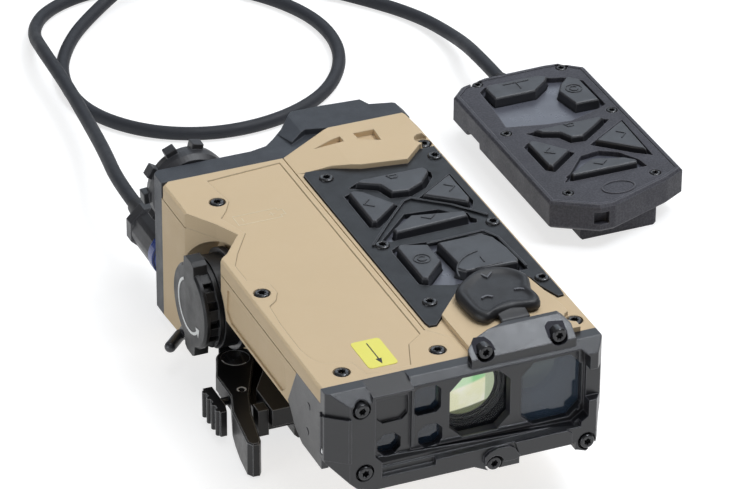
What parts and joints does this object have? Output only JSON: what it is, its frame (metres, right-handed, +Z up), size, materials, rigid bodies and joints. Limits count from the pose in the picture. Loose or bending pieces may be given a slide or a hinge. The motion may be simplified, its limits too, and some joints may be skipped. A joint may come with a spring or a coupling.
{
  "type": "laser speed radar gun",
  "caption": "Compact rail-mounted laser speed and range unit: two-part housing, window bezel, keypad, battery cap, selector knob, throw-lever clamp and wired remote keypad.",
  "frame": {"origin": "centre of the rail seat under the housing", "axes": "+X to the unit's right seen from behind, +Y to the back of the unit, +Z up through the deck"},
  "size_m": [0.2188, 0.4081, 0.0676],
  "materials": {
    "tan_paint": "satin",
    "bezel_metal": "satin",
    "black_metal": "satin",
    "dark_steel": "satin",
    "key_rubber": "matt",
    "soft_rubber": "matt",
    "frame_plastic": "fine texture",
    "remote_plastic": "fine texture",
    "cable_jacket": "satin",
    "window_glass": "polished",
    "lens_glass": "polished",
    "anodised": "anodised",
    "bare_aluminium": "machined",
    "board": "solder mask",
    "cell_wrap": "gloss",
    "spring_steel": "plated"
  },
  "bodies": {
    "unit": {"lower_housing": "tan_paint", "left_cover": "tan_paint", "right_deck": "tan_paint", "rear_cover": "bezel_metal", "front_bezel": "bezel_metal", "bezel_screws": "dark_steel", "cover_screws": "dark_steel", "rear_screws": "dark_steel", "camera_window": "window_glass", "receiver_window": "window_glass", "small_windows": "window_glass", "optic_barrels": "anodised", "objective_lenses": "lens_glass", "pointer_lasers": "bare_aluminium", "sensor_module": "bare_aluminium", "optical_bench": "bare_aluminium", "circuit_boards": "board", "display_window": "window_glass", "keypad_frame": "frame_plastic", "keypad_mat": "soft_rubber", "keypad_screws": "dark_steel", "port_anchor": "soft_rubber", "service_port": "dark_steel", "battery_tube": "black_metal", "battery_cell": "cell_wrap", "battery_spring": "spring_steel", "cap_tether": "soft_rubber", "cable_receptacle": "bare_aluminium", "cable_plug": "frame_plastic", "strain_reliefs": "soft_rubber", "remote_cable": "cable_jacket", "remote_shell": "remote_plastic", "remote_frame": "remote_plastic", "remote_mat": "soft_rubber", "remote_foot": "remote_plastic", "mount_base": "anodised", "mount_screws": "dark_steel", "lever_pivot": "dark_steel"},
    "cap_seal": {"cap_oring": "soft_rubber"},
    "battery_cap": {"battery_cap": "black_metal"},
    "selector": {"selector_knob": "frame_plastic", "selector_shaft": "dark_steel"},
    "throw_lever": {"throw_lever": "anodised", "lever_set_screw": "dark_steel"},
    "clamp_jaw": {"clamp_jaw": "anodised"},
    "lock_button": {"lock_button": "anodised"},
    "port_cover": {"port_cover": "soft_rubber"},
    "zoom_key": {"zoom_key": "key_rubber"},
    "left_key": {"left_key": "key_rubber"},
    "right_key": {"right_key": "key_rubber"},
    "range_key": {"range_key": "key_rubber"},
    "menu_key": {"menu_key": "key_rubber"},
    "power_key": {"power_key": "key_rubber"},
    "remote_zoom_key": {"remote_zoom_key": "key_rubber"},
    "remote_left_key": {"remote_left_key": "key_rubber"},
    "remote_right_key": {"remote_right_key": "key_rubber"},
    "remote_range_key": {"remote_range_key": "key_rubber"},
    "remote_menu_key": {"remote_menu_key": "key_rubber"},
    "remote_power_key": {"remote_power_key": "key_rubber"}
  },
  "joints": [
    {"name": "cap_advance", "type": "slide", "parent": "unit", "child": "cap_seal", "axis": [-1, 0, 0], "range_m": [0, 0.0045]},
    {"name": "cap_turn", "type": "hinge", "parent": "cap_seal", "child": "battery_cap", "pos_m": [-0.03, 0.017, 0.026], "axis": [-1, 0, 0], "range_deg": [0, 1080]},
    {"name": "selector_turn", "type": "hinge", "parent": "unit", "child": "selector", "pos_m": [-0.0142, 0.067, 0.0392], "axis": [0, 1, 0], "range_deg": [0, 280]},
    {"name": "lever_swing", "type": "hinge", "parent": "unit", "child": "throw_lever", "pos_m": [-0.0221, 0.009, 0.003], "axis": [0, 0, -1], "range_deg": [0, 90]},
    {"name": "jaw_travel", "type": "slide", "parent": "unit", "child": "clamp_jaw", "axis": [-1, 0, 0], "range_m": [0, 0.002]},
    {"name": "lock_press", "type": "slide", "parent": "throw_lever", "child": "lock_button", "axis": [1, 0, 0], "range_m": [0, 0.0015], "stiffness_N_per_m": 400, "springref_m": -0.002},
    {"name": "port_cover_lift", "type": "hinge", "parent": "unit", "child": "port_cover", "pos_m": [0.048, -0.077, 0.0549], "axis": [1, 0, 0], "range_deg": [0, 90]},
    {"name": "zoom_key_press", "type": "slide", "parent": "unit", "child": "zoom_key", "axis": [0, 0, -1], "range_m": [0, 0.001], "stiffness_N_per_m": 900, "springref_m": -0.0006},
    {"name": "left_key_press", "type": "slide", "parent": "unit", "child": "left_key", "axis": [0, 0, -1], "range_m": [0, 0.001], "stiffness_N_per_m": 900, "springref_m": -0.0006},
    {"name": "right_key_press", "type": "slide", "parent": "unit", "child": "right_key", "axis": [0, 0, -1], "range_m": [0, 0.001], "stiffness_N_per_m": 900, "springref_m": -0.0006},
    {"name": "range_key_press", "type": "slide", "parent": "unit", "child": "range_key", "axis": [0, 0, -1], "range_m": [0, 0.001], "stiffness_N_per_m": 900, "springref_m": -0.0006},
    {"name": "menu_key_press", "type": "slide", "parent": "unit", "child": "menu_key", "axis": [0, 0, -1], "range_m": [0, 0.001], "stiffness_N_per_m": 900, "springref_m": -0.0006},
    {"name": "power_key_press", "type": "slide", "parent": "unit", "child": "power_key", "axis": [0, 0, -1], "range_m": [0, 0.001], "stiffness_N_per_m": 900, "springref_m": -0.0006},
    {"name": "remote_zoom_key_press", "type": "slide", "parent": "unit", "child": "remote_zoom_key", "axis": [0, 0, -1], "range_m": [0, 0.001], "stiffness_N_per_m": 900, "springref_m": -0.0006},
    {"name": "remote_left_key_press", "type": "slide", "parent": "unit", "child": "remote_left_key", "axis": [0, 0, -1], "range_m": [0, 0.001], "stiffness_N_per_m": 900, "springref_m": -0.0006},
    {"name": "remote_right_key_press", "type": "slide", "parent": "unit", "child": "remote_right_key", "axis": [0, 0, -1], "range_m": [0, 0.001], "stiffness_N_per_m": 900, "springref_m": -0.0006},
    {"name": "remote_range_key_press", "type": "slide", "parent": "unit", "child": "remote_range_key", "axis": [0, 0, -1], "range_m": [0, 0.001], "stiffness_N_per_m": 900, "springref_m": -0.0006},
    {"name": "remote_menu_key_press", "type": "slide", "parent": "unit", "child": "remote_menu_key", "axis": [0, 0, -1], "range_m": [0, 0.001], "stiffness_N_per_m": 900, "springref_m": -0.0006},
    {"name": "remote_power_key_press", "type": "slide", "parent": "unit", "child": "remote_power_key", "axis": [0, 0, -1], "range_m": [0, 0.001], "stiffness_N_per_m": 900, "springref_m": -0.0006}
  ],
  "couplings": [
    {"joint": "cap_turn", "follows": "cap_advance", "rad_per_m": 4188.8},
    {"joint": "lever_swing", "follows": "jaw_travel", "rad_per_m": 785.39}
  ]
}
